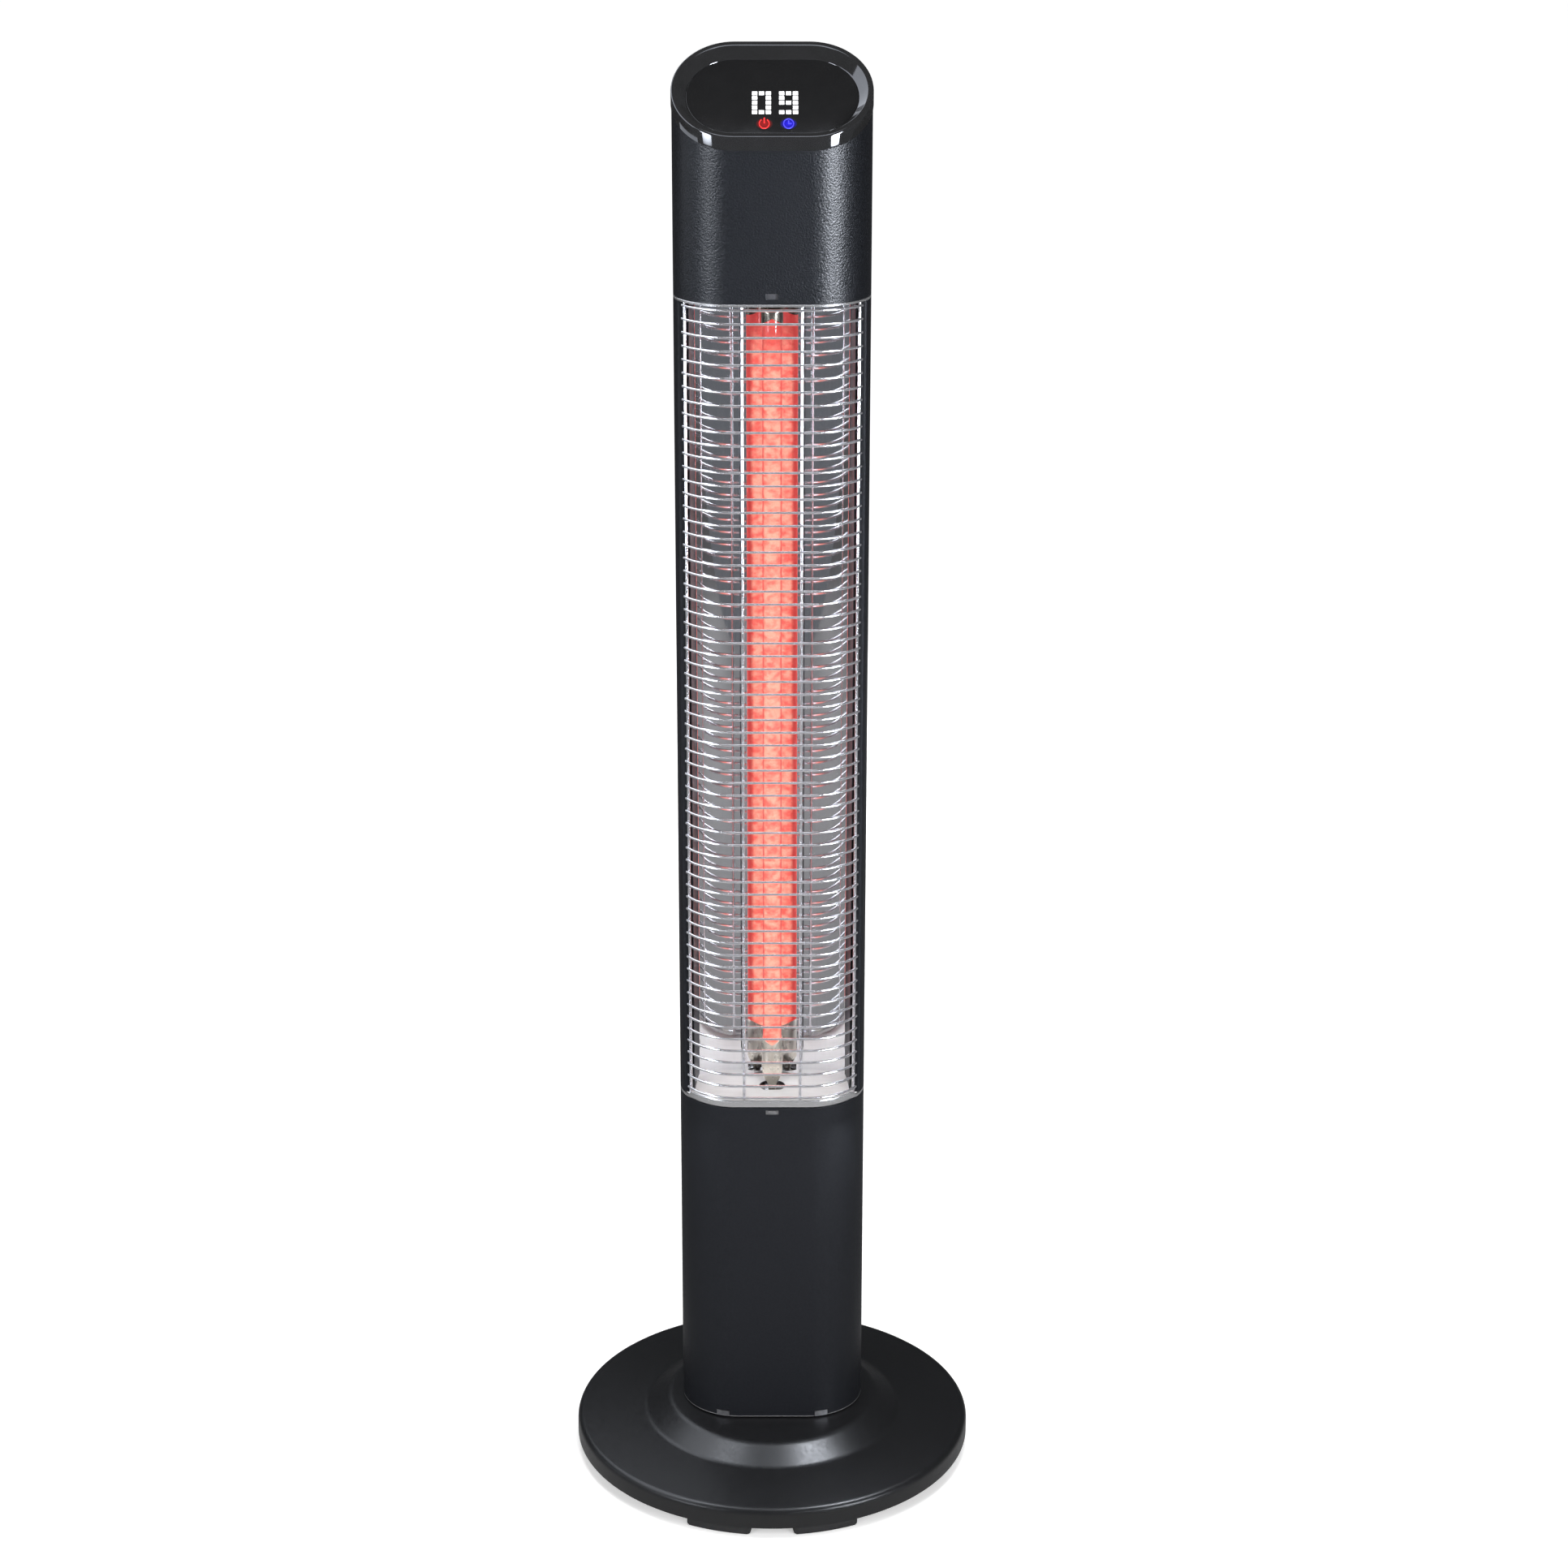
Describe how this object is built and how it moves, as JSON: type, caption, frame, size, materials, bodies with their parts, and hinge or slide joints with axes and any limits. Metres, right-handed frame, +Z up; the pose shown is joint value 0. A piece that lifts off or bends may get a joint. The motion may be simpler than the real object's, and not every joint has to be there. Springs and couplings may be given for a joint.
{
  "type": "infrared patio heater",
  "caption": "Free-standing infrared tower heater: an upright lamp before a mirror behind a wire guard, on a tower that swings on a round weighted base.",
  "frame": {"origin": "centre of the round base, on the surface it stands on", "axes": "+Z up the tower, -Y to the front where the lamp shines, +X to the right seen from the front"},
  "size_m": [0.35, 0.35, 1.2374],
  "materials": {
    "black_steel": "satin black powder coat with a fine grain",
    "black_plastic": "satin black moulding",
    "plate_steel": "black coated sheet steel",
    "ballast_iron": "rough grey casting",
    "foot_rubber": "soft black rubber",
    "zinc_steel": "bright zinc",
    "bearing_plastic": "natural white acetal",
    "switch_plastic": "dark grey moulding",
    "foot_casting": "grey die casting",
    "bright_steel": "bright rolled stainless sheet",
    "mirror_aluminium": "mirror polished sheet",
    "lamp_glass": "clear tube, glowing red-orange",
    "lamp_glow": "glowing carbon element",
    "nickel": "dull nickel plating",
    "porcelain": "unglazed porcelain",
    "chrome_wire": "bright chrome plated wire",
    "loom_sleeve": "black sleeving",
    "dark_chrome": "dark mirror plating",
    "smoked_lens": "polished smoked black",
    "board_green": "green lacquered board",
    "digit_white": "white diffuser, lit",
    "brass_pillar": "turned brass",
    "sink_aluminium": "extruded aluminium"
  },
  "bodies": {
    "base": {"base_cover": "black_plastic", "base_ballast": "ballast_iron", "base_bottom_plate": "plate_steel", "base_feet": "foot_rubber", "base_screws": "zinc_steel", "bearing_bush": "bearing_plastic", "terminal_block": "switch_plastic", "cord_gland": "black_plastic", "swing_motor": "zinc_steel", "motor_screws": "zinc_steel", "tip_switch_housing": "black_plastic", "tip_spring": "zinc_steel"},
    "tower": {"column_tube": "black_steel", "rear_shell": "black_steel", "upper_housing": "black_steel", "loom_grommets": "foot_rubber", "gear_screws": "zinc_steel", "column_screws": "zinc_steel", "board_screws": "zinc_steel", "swivel_gear": "bearing_plastic", "relay": "switch_plastic", "column_foot": "foot_casting", "heater_floor": "bright_steel", "heater_ceiling": "bright_steel", "reflector": "mirror_aluminium", "lamp_tube": "lamp_glass", "lamp_element": "lamp_glow", "lamp_cap_lower": "nickel", "lamp_cap_upper": "nickel", "lamp_holder_lower": "porcelain", "lamp_holder_upper": "porcelain", "thermal_cutout": "porcelain", "grille_hoops": "chrome_wire", "grille_rods": "chrome_wire", "wiring_loom": "loom_sleeve", "bezel_ring": "dark_chrome", "display_lens": "smoked_lens", "remote_receiver": "smoked_lens", "display_board": "board_green", "control_board": "board_green", "led_digits": "digit_white", "board_standoffs": "brass_pillar", "heat_sink": "sink_aluminium"},
    "pinion": {"drive_pinion": "bearing_plastic"},
    "plunger": {"tip_plunger": "switch_plastic"}
  },
  "joints": [
    {"name": "tower_swing", "type": "hinge", "parent": "base", "child": "tower", "pos_m": [0, 0, 0.047], "axis": [0, 0, 1], "range_deg": [-35, 35]},
    {"name": "pinion_spin", "type": "hinge", "parent": "base", "child": "pinion", "pos_m": [0, 0.054, 0.036], "axis": [0, 0, 1], "range_deg": [-180, 180]},
    {"name": "plunger_travel", "type": "slide", "parent": "base", "child": "plunger", "axis": [0, 0, -1], "range_m": [0, 0.006], "stiffness_N_per_m": 300, "springref_m": 0.01, "deforming": ["tip_spring"]}
  ],
  "couplings": [
    {"joint": "pinion_spin", "follows": "tower_swing", "ratio": -5}
  ]
}
